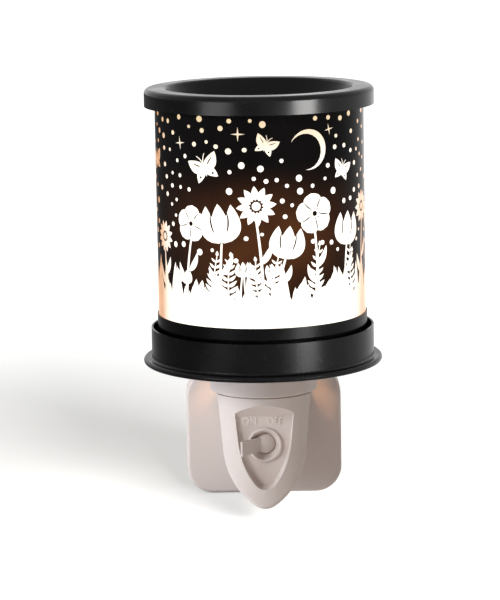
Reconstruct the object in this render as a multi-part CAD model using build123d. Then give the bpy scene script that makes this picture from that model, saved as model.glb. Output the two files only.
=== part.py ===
from build123d import *
import math
import os

# Plug-in wax melt warmer, in millimetres.
# The origin is the centre of the wall plate's back, on the plug's turning axis.
# +Y points into the wall, -Y is the front with the switch, +Z is up.
# Sizes named drop are measured down from the foot of the base ring, and sizes
# named rise are measured up from it. The lamp's own axis is vertical.

# Places of the main groups
foot_height = 41.0         # plug axis up to the foot of the base ring
wall_gap = 5.0             # between the wall and the base ring's flange
cut_overrun = 1.0          # how far a cutting body runs past what it cuts
touch_gap = 0.1            # between pieces that are put together by hand
slide_gap = 0.15           # between the glass and its collar
turn_gap = 0.08            # radial play of the turning plug disc and the lever's barrel

# Base ring and floor pan
foot_radius = 50.0
foot_thickness = 2.4
foot_sag = 0.5
foot_flange = 3.4          # from the ring's wall out to the flange's edge
foot_hem = 2.4             # from the flange's edge back to the end of its hem
hem_bend_share = 0.99      # bend of the hem, of its half thickness
ring_rise = 14.8
ring_sheet = 0.8
pan_sheet = 0.8
pan_rim_rise = 8.0
pan_bend = 1.6
weld_gap = 0.05
vent_radius = 3.5
vent_count = 6
vent_inset = 9.0           # from the gallery's wall in to the circle of vents

# Glass shade
glass_setback = 3.3        # from the ring's wall in to the glass
glass_wall = 2.8
glass_edge = 0.5

# Gallery: the cup whose collar holds the glass
gallery_sheet = 0.4
gallery_ledge_width = 3.3
gallery_ledge_rise = 15.6
collar_rise = 20.7
gallery_bend = 0.8

# Wax dish, spun from one sheet
dish_overhang = 4.3        # from the glass out to the dish's skirt
dish_sheet = 0.8
dish_rise = 114.75
dish_skirt = 7.5
dish_corner = 2.2
brim_width = 8.8
brim_inner_corner = 1.6
bowl_depth = 13.15
bowl_taper = 5.6
bowl_floor_corner = 9.0

# Bulb
bulb_radius = 17.5
bulb_wall = 0.7
bulb_neck_length = 4.226176
bulb_shoulder_radius = 16.0
bulb_seat = 8.0            # how deep the bulb's neck stands in its cap
cement_gap = 0.2
cap_radius = 5.95
cap_sheet = 0.35
cap_height = 12.5
tip_radius = 2.2
tip_height = 1.5
insulator_height = 2.0
insulator_setback = 1.35
insulator_rim = 0.4
stem_radius = 3.2
stem_top_radius = 1.6
stem_height = 15.0
filament_wire_radius = 0.22
filament_coil_radius = 0.5
filament_spread = 6.5
filament_setdown = 1.0
filament_sag = 2.4
support_bend = 2.0

# Lamp socket
socket_wall = 5.05
socket_rise = 22.0
socket_drop = 14.0
socket_floor_rise = 1.0
socket_floor = 3.0
socket_back_step = 3.8
socket_hole_play = 0.2
shoulder_width = 4.2
shoulder_height = 3.0
socket_edge = 0.6
shell_play = 0.35          # between the bulb's cap and the socket's shell
shell_sheet = 0.35
shell_foot = 2.0
shell_setback = 1.0
shell_lip = 2.05
leaf_width = 4.0
leaf_margin = 0.6
leaf_sheet = 0.4
leaf_lift = 2.1
rivet_radius = 1.3
nut_width = 4.5
nut_height = 3.8
nut_notch_radius = 1.6
nut_notch_count = 8
nut_edge = 0.5

# Neck collar
neck_room = 4.0            # between the socket's shoulder and the neck's wall
neck_wall = 2.4
neck_drop = 12.4
neck_top_plate = 2.0
neck_edge = 0.5

# Turning plug
disc_radius = 17.0
disc_flange = 2.5
disc_flange_thickness = 1.7
disc_setback = 0.1
disc_grip_depth = 0.9
disc_grip_rim = 3.8
disc_bridge_margin = 3.15
blade_spacing = 12.7
blade_thickness = 1.5
hot_blade_width = 6.35
neutral_blade_width = 7.9
blade_length = 16.5
blade_foot = 1.75
blade_hole_radius = 1.55
blade_hole_setback = 4.8
blade_point_length = 1.6
blade_point_shrink = 1.0
post_radius = 2.6
post_room = 1.5
carrier_thickness = 2.0
carrier_width = 14.0
strip_sheet = 0.5
strip_width = 4.4
strip_inset = 2.15           # from the middle of a blade in to the edge of its strip
strip_sweep = 132.0          # degrees
strip_lead = 21.0            # degrees that a strip runs past the blade at rest
stud_radius = 0.9
stud_reach = 1.0
stud_play = 0.05
contact_gap = 0.05
carrier_screw_length = 4.0
carrier_screw_head_radius = 2.3

# Screws of the housing
screw_inset_x = 7.6
screw_inset_z = 8.2
boss_radius = 3.0
pilot_radius = 1.25
screw_shank_radius = 1.2
screw_hole_radius = 1.6
screw_head_radius = 2.6
screw_head_height = 1.1
screw_sink_radius = 2.8
screw_tip_room = 1.8
driver_slot_width = 0.7
driver_slot_depth = 0.5

# Wall plate: the front shell and the rear cover together
plate_side_room = 5.7
plate_end_room = 6.1
plate_corner = 11.5
plate_inner_room = 0.3
plate_edge = 1.6
moulding_wall = 2.0
cover_thickness = 2.5

# Nose and web of the front housing
neck_step = 0.8
nose_top_inset = 2.2
nose_flank_lean = 2.0
nose_flank_share = 0.49788136
nose_drop = 60.2
nose_tip_radius = 7.4
nose_edge = 2.4
web_setdown = 3.8
spigot_gap = 0.2
spigot_wall = 2.0
spigot_height = 6.0
seat_ring_width = 0.8
seat_ring_height = 0.6

# Shield recess on the nose: its floor, and its mouth where the walls run out
recess_depth = 5.4
floor_side_margin = 7.6
floor_top_margin = 8.2
floor_tip_margin = 9.5
floor_flank_lean = 1.4
floor_flank_share = 0.34915254
floor_tip_radius = 4.8
mouth_side_flare = 2.1
mouth_top_flare = 6.4
mouth_flank_flare = 1.9
mouth_tip_flare = 1.1
mouth_tip_opening = 0.6

# Switch
switch_share = 0.41016949
bezel_band = 2.7
bezel_proud = 1.3
bezel_lip = 0.7
bezel_lip_width = 0.9
bezel_throat_step = 0.2      # from the lever's ball in to the throat of the bezel
bezel_throat_depth = 3.1
bezel_stem_step = 1.3
lever_half_throw = 38.0      # degrees each side of the middle
lever_pivot_depth = 3.6      # recess floor back to the lever's pivot
lever_length = 15.8
lever_thickness = 2.4
lever_tip_thickness = 1.2
lever_neck_width = 5.4
lever_tip_width = 6.3
lever_flare_start = 6.5      # along the lever from its pivot
lever_ball_radius = 4.7
lever_tip_edge_share = 0.41666667
trunnion_radius = 0.9
trunnion_length = 1.3
lever_tail = 5.6
case_side = 2.1
case_end = 1.5
case_floor = 2.6
case_edge = 0.8
ball_room = 0.4
tail_clearance = 2.5
rocker_width = 4.6
rocker_length = 7.0
rocker_sheet = 0.8
terminal_spread = 5.0
terminal_width = 2.8
terminal_sheet = 0.8
terminal_length = 4.0
terminal_rise = 3.0

# Inner leads
wire_radius = 1.0
wire_bend = 4.0


# Worked-out sizes and places, all from the sizes above: radii of the upper group
lamp_reach = foot_radius + wall_gap
foot_hem_radius = foot_radius - foot_hem
ring_radius = foot_radius - foot_flange
glass_radius = ring_radius - glass_setback
gallery_inner_radius = glass_radius - gallery_ledge_width
dish_radius = glass_radius + dish_overhang
brim_inner_radius = dish_radius - brim_width
bowl_floor_radius = brim_inner_radius - bowl_taper

# Socket, nut and neck, from the bulb's cap outward
shell_radius = cap_radius + shell_play + shell_sheet
shell_lip_radius = shell_radius - shell_lip
leaf_length = 2 * (shell_lip_radius - leaf_margin)
socket_bore_radius = shell_radius + touch_gap
socket_radius = socket_bore_radius + socket_wall
socket_back_radius = socket_radius - socket_back_step
socket_hole_radius = socket_radius + socket_hole_play
shoulder_radius = socket_radius + shoulder_width
nut_outer_radius = socket_hole_radius + nut_width
neck_inner_radius = shoulder_radius + neck_room
neck_radius = neck_inner_radius + neck_wall
vent_circle_radius = gallery_inner_radius - vent_inset

# Heights of the upper group
glass_seat = gallery_ledge_rise
glass_top = dish_rise - dish_sheet
pan_top = foot_thickness
nut_seat = pan_top + gallery_sheet
neck_top = foot_thickness - pan_sheet
shoulder_top = neck_top - neck_top_plate
column_top_drop = neck_drop + seat_ring_height

# Bulb, from the contact leaf up
tip_rise = socket_floor_rise + leaf_lift + leaf_sheet
insulator_rise = tip_rise + tip_height
cap_rise = insulator_rise + insulator_height
insulator_top_radius = cap_radius - insulator_setback
insulator_bottom_radius = tip_radius + insulator_rim
bulb_neck_radius = cap_radius - cap_sheet - cement_gap
bulb_neck_rise = cap_rise + bulb_seat
bulb_shoulder_rise = bulb_neck_rise + bulb_neck_length
bulb_shoulder_reach = bulb_neck_radius + bulb_shoulder_radius
bulb_centre_rise = bulb_shoulder_rise + math.sqrt(
    (bulb_radius + bulb_shoulder_radius) ** 2 - bulb_shoulder_reach**2
)
stem_top_rise = bulb_neck_rise + stem_height
filament_rise = bulb_centre_rise - filament_setdown

# Plug, carrier and wall plate
disc_flange_radius = disc_radius + disc_flange
disc_grip_radius = disc_radius - disc_grip_rim
disc_bridge_width = blade_spacing + 2 * disc_bridge_margin
cover_inner = -cover_thickness
disc_back = cover_inner - touch_gap - disc_flange_thickness
carrier_setback = blade_foot + contact_gap + strip_sheet - disc_back
strip_inner_radius = blade_spacing / 2 - strip_inset
strip_outer_radius = strip_inner_radius + strip_width
post_spread = disc_flange_radius + post_room + post_radius
plate_width = 2 * (post_spread + post_radius + plate_side_room + moulding_wall)
plate_height = 2 * (disc_flange_radius + plate_end_room + moulding_wall)
plate_depth = carrier_setback + carrier_thickness + screw_head_height + plate_inner_room + moulding_wall
plate_front = -plate_depth
screw_spread_x = plate_width / 2 - screw_inset_x
screw_spread_z = plate_height / 2 - screw_inset_z
screw_length = plate_depth - moulding_wall - screw_head_height - touch_gap - screw_tip_room

# Nose and recess
nose_radius = neck_radius - neck_step
nose_top_half_width = nose_radius - nose_top_inset
flank_half_width = nose_top_half_width - nose_flank_lean
flank_drop = column_top_drop + nose_flank_share * (nose_drop - column_top_drop)
web_drop = column_top_drop + web_setdown
spigot_radius = neck_inner_radius - spigot_gap
seat_ring_radius = spigot_radius + seat_ring_width
recess_reach = nose_radius - recess_depth
inner_front_reach = recess_reach - moulding_wall
floor_top_half_width = nose_top_half_width - floor_side_margin
floor_top_drop = column_top_drop + floor_top_margin
floor_tip_drop = nose_drop - floor_tip_margin
floor_flank_half_width = floor_top_half_width - floor_flank_lean
floor_flank_drop = floor_top_drop + floor_flank_share * (floor_tip_drop - floor_top_drop)
mouth_reach = nose_radius + cut_overrun
mouth_top_half_width = floor_top_half_width + mouth_side_flare
mouth_top_drop = floor_top_drop - mouth_top_flare
mouth_flank_half_width = floor_flank_half_width + mouth_flank_flare
mouth_tip_drop = floor_tip_drop + mouth_tip_flare
mouth_tip_radius = floor_tip_radius + mouth_tip_opening

# Switch, from the lever's ball outward
switch_drop = floor_top_drop + switch_share * (floor_tip_drop - floor_top_drop)
switch_height = foot_height - switch_drop
lever_pivot_reach = recess_reach - lever_pivot_depth
pivot_y = -lamp_reach - lever_pivot_reach
bezel_throat_radius = lever_ball_radius - bezel_throat_step
bezel_radius = bezel_throat_radius + bezel_band
bezel_lip_inner_radius = bezel_radius - bezel_lip_width
bezel_stem_radius = bezel_radius - bezel_stem_step
trunnion_reach = lever_ball_radius + trunnion_length
lever_tip_edge = lever_tip_edge_share * lever_tip_thickness
tail_reach = lever_tail + rocker_sheet
case_front = -lamp_reach - inner_front_reach + touch_gap
case_slot_width = 2 * tail_reach
case_slot_height = 2 * (lever_ball_radius + ball_room)
case_slot_depth = pivot_y + tail_reach + tail_clearance - case_front
case_width = case_slot_width + 2 * case_side
case_height = 2 * (trunnion_reach + case_end)
case_back = case_front + case_slot_depth + case_floor


def at_lamp(shape):
    """Moves a shape drawn round the lamp axis, with its foot at zero, to its place."""
    return Pos(0, -lamp_reach, foot_height) * shape


def turned(outline):
    """Revolves an outline, drawn as radius and height, round the lamp axis."""
    return revolve(Plane.XZ * outline, axis=Axis.Z)


def sheet_outline(points, bends, sheet, side):
    """Outline of a spun sheet whose one surface follows the points."""
    surface = Wire(FilletPolyline(*points, radius=bends).edges())
    return Face(surface.offset_2d(sheet, side=side))


def polygon(points):
    """Closed straight-sided outline."""
    return make_face(Polyline(*points, close=True))


def rod(radius, start, end):
    """Round bar between two points."""
    start, end = Vector(*start), Vector(*end)
    bar = extrude(Circle(radius), amount=(end - start).length)
    return Plane(origin=start, z_dir=end - start) * bar


def y_disc(radius, y_low, y_high, x=0.0, z=0.0):
    """Round disc or bar whose axis runs along Y."""
    return rod(radius, (x, y_low, z), (x, y_high, z))


def block(x_low, x_high, y_low, y_high, z_low, z_high):
    """Straight block between two corners."""
    size = Box(x_high - x_low, y_high - y_low, z_high - z_low, align=(Align.MIN,) * 3)
    return Pos(x_low, y_low, z_low) * size


# Upper group: dish, glass and metal base

def wax_dish():
    points = [
        (dish_radius, dish_rise - dish_skirt),
        (dish_radius, dish_rise),
        (brim_inner_radius, dish_rise),
        (bowl_floor_radius, dish_rise - bowl_depth),
        (0, dish_rise - bowl_depth),
    ]
    bends = [dish_corner, brim_inner_corner, bowl_floor_corner]
    return at_lamp(turned(sheet_outline(points, bends, dish_sheet, Side.LEFT)))


def glass_shade():
    inner = glass_radius - glass_wall
    wall = polygon([
        (inner, glass_seat), (glass_radius, glass_seat), (glass_radius, glass_top), (inner, glass_top),
    ])
    return at_lamp(turned(fillet(wall.vertices(), glass_edge)))


def vents(low, high):
    """Round vent holes on a circle, as one cutting body between two heights."""
    holes = Sketch() + PolarLocations(vent_circle_radius, vent_count) * Circle(vent_radius)
    return Pos(0, 0, low) * extrude(holes, amount=high - low)


def shade_gallery():
    collar_radius = glass_radius + slide_gap + gallery_sheet
    ledge = gallery_ledge_rise - gallery_sheet
    points = [
        (socket_hole_radius, pan_top),
        (gallery_inner_radius, pan_top),
        (gallery_inner_radius, ledge),
        (collar_radius, ledge),
        (collar_radius, collar_rise),
    ]
    cup = turned(sheet_outline(points, gallery_bend, gallery_sheet, Side.LEFT))
    return at_lamp(cup - vents(pan_top - cut_overrun, nut_seat + cut_overrun))


def base_ring():
    hem = foot_thickness / 2
    points = [
        (ring_radius, ring_rise),
        (ring_radius, foot_thickness - foot_sag),
        (foot_radius, foot_thickness - foot_sag),
        (foot_radius, -foot_sag),
        (foot_hem_radius, -foot_sag),
    ]
    bends = [ring_sheet, hem_bend_share * hem, hem_bend_share * hem]
    return at_lamp(turned(sheet_outline(points, bends, ring_sheet, Side.RIGHT)))


def base_pan():
    rim = ring_radius - ring_sheet - weld_gap
    points = [(socket_hole_radius, neck_top), (rim, neck_top), (rim, pan_rim_rise)]
    pan = turned(sheet_outline(points, pan_bend, pan_sheet, Side.LEFT))
    return at_lamp(pan - vents(neck_top - cut_overrun, pan_top + cut_overrun))


def neck_collar():
    cup = polygon([
        (socket_hole_radius, shoulder_top),
        (neck_inner_radius, shoulder_top),
        (neck_inner_radius, -neck_drop),
        (neck_radius, -neck_drop),
        (neck_radius, neck_top),
        (socket_hole_radius, neck_top),
    ])
    outer_corners = [v for v in cup.vertices() if v.X > neck_radius - neck_edge]
    return at_lamp(turned(fillet(outer_corners, neck_edge)))


# Socket and bulb

def lamp_socket():
    body = polygon([
        (0, socket_floor_rise),
        (socket_bore_radius, socket_floor_rise),
        (socket_bore_radius, socket_rise),
        (socket_radius, socket_rise),
        (socket_radius, shoulder_top),
        (shoulder_radius, shoulder_top),
        (shoulder_radius, shoulder_top - shoulder_height),
        (socket_radius, shoulder_top - shoulder_height),
        (socket_radius, -socket_drop),
        (socket_back_radius, -socket_drop),
        (socket_back_radius, socket_floor_rise - socket_floor),
        (0, socket_floor_rise - socket_floor),
    ])
    mouth = [v for v in body.vertices() if v.Y > socket_rise - socket_edge]
    socket = turned(chamfer(mouth, socket_edge))
    rivet_hole = rod(
        rivet_radius,
        (0, 0, socket_floor_rise - socket_floor - cut_overrun),
        (0, 0, socket_floor_rise + cut_overrun),
    )
    return at_lamp(socket - rivet_hole)


def socket_shell():
    foot = socket_floor_rise + shell_foot
    top = socket_rise - shell_setback
    points = [(shell_lip_radius, foot), (shell_radius, foot), (shell_radius, top)]
    return at_lamp(turned(sheet_outline(points, shell_sheet * 2, shell_sheet, Side.LEFT)))


def socket_contact():
    """Spring leaf on the socket's floor, bent up under the bulb's tip, with its rivet."""
    floor = socket_floor_rise
    half = leaf_length / 2
    points = [(-half, floor), (half, floor), (0, floor + leaf_lift)]
    surface = Wire(FilletPolyline(*points, radius=leaf_sheet * 1.5).edges())
    side = Plane.XZ * Face(surface.offset_2d(leaf_sheet, side=Side.LEFT))
    leaf = extrude(side, amount=leaf_width / 2, both=True)
    shank_low = floor - socket_floor - terminal_length
    rivet = rod(rivet_radius, (0, 0, shank_low), (0, 0, floor))
    return at_lamp(leaf + rivet)


def socket_ring_nut():
    section = polygon([
        (socket_hole_radius, nut_seat),
        (nut_outer_radius, nut_seat),
        (nut_outer_radius, nut_seat + nut_height),
        (socket_hole_radius, nut_seat + nut_height),
    ])
    top_corner = section.vertices().sort_by(Axis.Y)[-2:].sort_by(Axis.X)[-1]
    nut = turned(fillet(top_corner, nut_edge))
    notches = Sketch() + PolarLocations(nut_outer_radius, nut_notch_count) * Circle(nut_notch_radius)
    cutter = Pos(0, 0, nut_seat - cut_overrun) * extrude(notches, amount=nut_height + 2 * cut_overrun)
    return at_lamp(nut - cutter)


def bulb_outline(inset):
    """Half outline of the bulb's glass, moved in by a wall or part of it, from neck to crown."""
    ball = bulb_radius - inset
    shoulder = bulb_shoulder_radius + inset
    neck = bulb_neck_radius - inset
    lean = math.atan2(bulb_centre_rise - bulb_shoulder_rise, bulb_shoulder_reach)
    meet = (ball * math.cos(lean), bulb_centre_rise - ball * math.sin(lean))
    half_lean = lean / 2
    bend = (
        bulb_shoulder_reach - shoulder * math.cos(half_lean),
        bulb_shoulder_rise + shoulder * math.sin(half_lean),
    )
    crown = bulb_centre_rise + ball
    return [
        Line((neck, bulb_neck_rise), (neck, bulb_shoulder_rise)),
        ThreePointArc((neck, bulb_shoulder_rise), bend, meet),
        ThreePointArc(meet, (ball, bulb_centre_rise), (0, crown)),
    ]


def bulb_glass():
    outer = bulb_outline(0.0)
    inner = bulb_outline(bulb_wall)
    foot = Line(outer[0] @ 0, inner[0] @ 0)
    crown = Line(outer[2] @ 1, inner[2] @ 1)
    return at_lamp(turned(make_face([*outer, *inner, foot, crown])))


def bulb_cap():
    top = cap_rise + cap_height
    points = [(insulator_top_radius, cap_rise), (cap_radius, cap_rise), (cap_radius, top)]
    return at_lamp(turned(sheet_outline(points, cap_sheet * 2, cap_sheet, Side.LEFT)))


def bulb_insulator():
    cone = polygon([
        (0, insulator_rise), (insulator_bottom_radius, insulator_rise),
        (insulator_top_radius, cap_rise), (0, cap_rise),
    ])
    return at_lamp(turned(cone))


def bulb_contact():
    tip = polygon([
        (0, tip_rise), (tip_radius, tip_rise), (tip_radius, insulator_rise), (0, insulator_rise),
    ])
    rim = tip.vertices().sort_by(Axis.Y)[:2].sort_by(Axis.X)[-1]
    return at_lamp(turned(fillet(rim, tip_height / 2)))


def bulb_stem():
    """Glass mount that rises from the neck and ends in a flat pinch."""
    foot_radius_inside = bulb_neck_radius - bulb_wall
    stem = polygon([
        (0, bulb_neck_rise),
        (foot_radius_inside, bulb_neck_rise),
        (stem_radius, bulb_neck_rise + stem_radius),
        (stem_top_radius, stem_top_rise),
        (0, stem_top_rise),
    ])
    return at_lamp(turned(stem))


def bulb_filament():
    """Two lead wires that spread from the stem, and the coil strung between them."""
    pinch = stem_top_radius / 2
    parts = []
    for side in (-1, 1):
        route = FilletPolyline(
            (side * pinch, stem_top_rise),
            (side * pinch, stem_top_rise + support_bend * 2),
            (side * filament_spread, filament_rise),
            radius=support_bend,
        )
        start = Plane(origin=route @ 0, z_dir=route % 0)
        lead = sweep(start * Circle(filament_wire_radius), path=Wire(route.edges()))
        parts.append(Rot(90, 0, 0) * lead)
    coil = ThreePointArc(
        (-filament_spread, filament_rise), (0, filament_rise - filament_sag), (filament_spread, filament_rise)
    )
    start = Plane(origin=coil @ 0, z_dir=coil % 0)
    coil_body = sweep(start * Circle(filament_coil_radius), path=Wire([coil]))
    return at_lamp(Rot(90, 0, 0) * coil_body + parts[0] + parts[1])


# Front housing

def shield(top_half_width, top_drop, flank_width, flank_end, tip_drop, tip_radius, inset=0.0):
    """Shield outline as width and height from the foot: straight flanks, then arcs to a round tip.

    The flank arc is tangent to the straight flank and to the tip's own arc.
    """
    run = Vector(flank_width - top_half_width, top_drop - flank_end)
    down = run.normalized()
    inward = Vector(down.Y, -down.X)
    corner = Vector(top_half_width, -top_drop)
    flank = Vector(flank_width, -flank_end)
    tip_centre = Vector(0, tip_radius - tip_drop)
    apart = flank - tip_centre
    reach = (tip_radius**2 - apart.length**2) / (2 * (apart.dot(inward) + tip_radius))
    centre = flank + inward * reach
    along = (tip_centre - centre).normalized()
    flank = flank + inward * inset
    top = corner + inward * inset
    top = top + down * (-inset / down.Y)
    meet = tip_centre + along * (tip_radius - inset)
    start_angle = math.atan2(flank.Y - centre.Y, flank.X - centre.X)
    end_angle = math.atan2(along.Y, along.X)
    middle = (start_angle + end_angle) / 2
    bow = centre + Vector(math.cos(middle), math.sin(middle)) * (reach - inset)
    tip = (0, inset - tip_drop)
    left = [(-p.X, p.Y) for p in (top, flank, bow, meet)]
    right = [(p.X, p.Y) for p in (top, flank, bow, meet)]
    return make_face([
        Line(left[0], right[0]),
        Line(right[0], right[1]),
        ThreePointArc(right[1], right[2], right[3]),
        ThreePointArc(right[3], tip, left[3]),
        ThreePointArc(left[3], left[2], left[1]),
        Line(left[1], left[0]),
    ])


def upright(y):
    """Plane facing the front at a given Y, with its zero at the lamp's foot."""
    return Plane(origin=(0, y, foot_height), x_dir=(1, 0, 0), z_dir=(0, -1, 0))


def nose_prism(inset):
    """The nose's shield outline, run from in front of the nose back to the wall."""
    face = shield(
        nose_top_half_width, column_top_drop, flank_half_width, flank_drop, nose_drop, nose_tip_radius, inset
    )
    length = lamp_reach + nose_radius + cut_overrun
    return extrude(upright(0) * face, amount=length)


def nose(inset):
    """Front half of the nose: a round column cut to the shield outline."""
    tall = nose_drop - column_top_drop + 2 * inset
    column = at_lamp(Pos(0, 0, -nose_drop - inset) * extrude(Circle(nose_radius - inset), amount=tall))
    return column & nose_prism(inset)


def web(inset, back):
    """The arm that runs from the nose back to the wall plate."""
    low = foot_height - nose_drop - cut_overrun
    high = foot_height - web_drop - inset
    room = block(-nose_radius, nose_radius, -lamp_reach, back, low, high)
    return room & nose_prism(inset)


def plate_block(width, height, corner, front, back):
    """Slab with round corners, facing the front."""
    face = RectangleRounded(width, height, corner)
    return extrude(Plane(origin=(0, back, 0), x_dir=(1, 0, 0), z_dir=(0, -1, 0)) * face, amount=back - front)


def recess_cutter():
    floor = shield(
        floor_top_half_width, floor_top_drop, floor_flank_half_width, floor_flank_drop,
        floor_tip_drop, floor_tip_radius,
    )
    mouth = shield(
        mouth_top_half_width, mouth_top_drop, mouth_flank_half_width, floor_flank_drop,
        mouth_tip_drop, mouth_tip_radius,
    )
    sections = [
        upright(-lamp_reach - recess_reach) * floor,
        upright(-lamp_reach - mouth_reach) * mouth,
    ]
    return loft(sections, ruled=True)


def screw_places():
    return [(x, z) for x in (-screw_spread_x, screw_spread_x) for z in (-screw_spread_z, screw_spread_z)]


def nose_rim(shape):
    """Edges where the nose's round front meets its cut flanks and tip."""
    top = foot_height - column_top_drop - nose_edge / 2
    return [
        e for e in shape.edges()
        if e.center().Y < -lamp_reach - nose_edge and e.center().Z < top
    ]


def front_housing():
    outer_nose = nose(0.0)
    outer_nose = fillet(nose_rim(outer_nose), nose_edge)
    plate = plate_block(plate_width, plate_height, plate_corner, plate_front, 0)
    plate = fillet(plate.faces().sort_by(Axis.Y)[0].edges(), plate_edge)
    bore = Circle(spigot_radius - spigot_wall)
    spigot = extrude(Circle(spigot_radius) - bore, amount=spigot_height)
    spigot = spigot + extrude(Circle(seat_ring_radius) - bore, amount=seat_ring_height)
    spigot = at_lamp(Pos(0, 0, -column_top_drop) * spigot)
    body = outer_nose + web(0.0, plate_front + moulding_wall) + plate
    body = body - recess_cutter()

    front_wall = block(
        -nose_radius, nose_radius, -lamp_reach - inner_front_reach, 0,
        foot_height - nose_drop, foot_height,
    )
    hollow = (nose(moulding_wall) & front_wall) + web(moulding_wall, 0)
    pocket = plate_block(
        plate_width - 2 * moulding_wall, plate_height - 2 * moulding_wall, plate_corner - moulding_wall,
        plate_front + moulding_wall, cut_overrun,
    )
    shaft = at_lamp(
        Pos(0, 0, -column_top_drop - moulding_wall - cut_overrun)
        * extrude(Circle(spigot_radius - spigot_wall), amount=moulding_wall + 2 * cut_overrun)
    )
    body = body - hollow - pocket - shaft + spigot

    stem = y_disc(
        bezel_stem_radius + touch_gap, -lamp_reach - recess_reach - cut_overrun,
        -lamp_reach - inner_front_reach + cut_overrun, z=switch_height,
    )
    body = body - stem
    for x, z in screw_places():
        boss = y_disc(boss_radius, plate_front + moulding_wall, cover_inner, x, z)
        pilot = y_disc(pilot_radius, plate_front + moulding_wall, cover_inner + cut_overrun, x, z)
        body = body + boss - pilot
    return body


def rear_cover():
    margin = 2 * (moulding_wall + touch_gap)
    cover = plate_block(
        plate_width - margin, plate_height - margin, plate_corner - margin / 2, cover_inner, 0
    )
    cover = cover - y_disc(disc_radius + turn_gap, cover_inner - cut_overrun, cut_overrun)
    for x, z in screw_places():
        cover = cover - y_disc(screw_hole_radius, cover_inner - cut_overrun, cut_overrun, x, z)
        cover = cover - y_disc(screw_sink_radius, -screw_head_height - touch_gap, cut_overrun, x, z)
    for x in (-post_spread, post_spread):
        cover = cover + y_disc(post_radius, -carrier_setback, cover_inner, x)
        cover = cover - y_disc(pilot_radius, -carrier_setback - cut_overrun, cover_inner, x)
    return cover


def screw(x, z, head_y, toward_front, head_radius, length):
    """Screw along Y: pan head, shank and driver slot."""
    step = -1 if toward_front else 1
    shank = y_disc(screw_shank_radius, head_y, head_y + step * length, x, z)
    head = y_disc(head_radius, head_y, head_y - step * screw_head_height, x, z)
    top = head_y - step * screw_head_height
    slot_low, slot_high = sorted((top, top + step * driver_slot_depth))
    slot = block(
        x - head_radius, x + head_radius, slot_low, slot_high,
        z - driver_slot_width / 2, z + driver_slot_width / 2,
    )
    return head + shank - slot


def housing_screws():
    seat = -screw_head_height - touch_gap
    screws = [screw(x, z, seat, True, screw_head_radius, screw_length) for x, z in screw_places()]
    return Compound(children=[s.solid() for s in screws])


# Switch

def switch_bezel():
    """Stepped ring with a conical throat, turned about the switch's own axis."""
    face = recess_reach
    lip = face + bezel_proud
    section = polygon([
        (bezel_throat_radius, inner_front_reach),
        (bezel_stem_radius, inner_front_reach),
        (bezel_stem_radius, face),
        (bezel_radius, face),
        (bezel_radius, lip - bezel_lip / 2),
        (bezel_radius - bezel_lip / 2, lip),
        (bezel_lip_inner_radius, lip),
        (bezel_throat_radius, lip - bezel_throat_depth),
    ])
    ring = revolve(Plane.XZ * section, axis=Axis.Z)
    return Pos(0, -lamp_reach, switch_height) * Rot(90, 0, 0) * ring


def lever_plane_shape(shape):
    """Turns a lever drawn along -Y from its pivot to its ON lean, and puts it in place."""
    return Pos(0, pivot_y, switch_height) * Rot(0, 0, -lever_half_throw) * shape


def switch_lever():
    """Toggle: ball with two trunnions, and a paddle that flares to its tip."""
    ball = Sphere(lever_ball_radius) + extrude(Circle(trunnion_radius), amount=trunnion_reach, both=True)
    half_neck, half_tip = lever_neck_width / 2, lever_tip_width / 2
    side = Plane.YZ * polygon([
        (0, -half_neck), (-lever_flare_start, -half_neck), (-lever_length, -half_tip),
        (-lever_length, half_tip), (-lever_flare_start, half_neck), (0, half_neck),
    ])
    half_thick, half_thin = lever_thickness / 2, lever_tip_thickness / 2
    plan = polygon([
        (-half_thick, 0), (-half_thin, -lever_length), (half_thin, -lever_length), (half_thick, 0),
    ])
    paddle = extrude(side, amount=lever_thickness, both=True)
    paddle = paddle & extrude(plan, amount=lever_tip_width, both=True)
    tip_edges = [e for e in paddle.edges() if e.center().Y < lever_tip_edge - lever_length]
    paddle = fillet(tip_edges, lever_tip_edge)
    tail = extrude(Rectangle(lever_thickness, lever_tail, align=(Align.CENTER, Align.MIN)),
                   amount=lever_neck_width / 2, both=True)
    return lever_plane_shape(ball + paddle + tail)


def switch_rocker():
    """Copper bridge on the lever's tail that makes and breaks the circuit."""
    bridge = block(
        -rocker_width / 2, rocker_width / 2, lever_tail, lever_tail + rocker_sheet,
        -rocker_length / 2, rocker_length / 2,
    )
    return lever_plane_shape(fillet(bridge.edges().filter_by(Axis.Z), rocker_sheet / 4))


def switch_case():
    z_low, z_high = switch_height - case_height / 2, switch_height + case_height / 2
    case = block(-case_width / 2, case_width / 2, case_front, case_back, z_low, z_high)
    case = fillet(case.edges().filter_by(Axis.Y), case_edge)
    slot_low, slot_high = switch_height - case_slot_height / 2, switch_height + case_slot_height / 2
    slot = block(
        -case_slot_width / 2, case_slot_width / 2, case_front - cut_overrun, case_front + case_slot_depth,
        slot_low, slot_high,
    )
    pivot_hole = Pos(0, pivot_y, z_low) * extrude(
        Circle(trunnion_radius + turn_gap), amount=(case_height / 2 + trunnion_reach + touch_gap)
    )
    blind = Pos(0, pivot_y, z_low) * extrude(
        Circle(trunnion_radius + turn_gap), amount=case_height / 2 - trunnion_reach - touch_gap
    )
    return case - slot - (pivot_hole - blind)


def terminal_places():
    return [(-terminal_spread, terminal_rise), (terminal_spread, -terminal_rise)]


def switch_terminals():
    blades = []
    for x, rise in terminal_places():
        z = switch_height + rise
        blades.append(block(
            x - terminal_width / 2, x + terminal_width / 2, case_back, case_back + terminal_length,
            z - terminal_sheet / 2, z + terminal_sheet / 2,
        ).solid())
    return Compound(children=blades)


# Turning plug

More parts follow.
